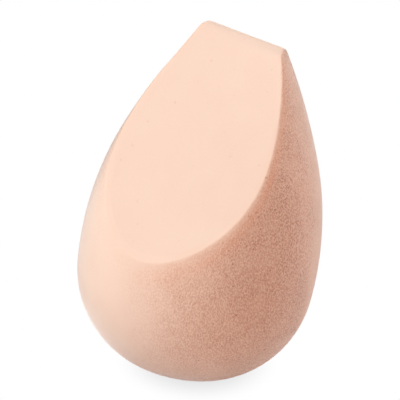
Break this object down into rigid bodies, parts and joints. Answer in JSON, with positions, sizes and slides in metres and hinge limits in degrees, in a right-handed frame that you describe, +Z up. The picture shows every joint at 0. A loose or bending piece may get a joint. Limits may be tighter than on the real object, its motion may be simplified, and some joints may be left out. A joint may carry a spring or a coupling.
{
  "type": "makeup sponge",
  "caption": "Rounded teardrop sponge of soft moulded foam with a large flat cut face and a blunt narrow end, for dabbing and blending make-up; it stands leaning back on its rounded end.",
  "frame": {"origin": "middle of the flat spot on the rounded end, where the sponge stands", "axes": "+Z up from the surface it stands on; +X the side that the flat face looks towards; +Y across, with the part alike on both sides of Y = 0; the teardrop's own axis leans 20 degrees back from +Z towards -X"},
  "size_m": [0.0453, 0.0422, 0.0591],
  "materials": {
    "cut_foam": "matte, fine open pores",
    "skin_foam": "matte, suede-like grain"
  },
  "bodies": {
    "root": {"foam_core": "cut_foam", "moulded_skin": "skin_foam"}
  },
  "joints": []
}
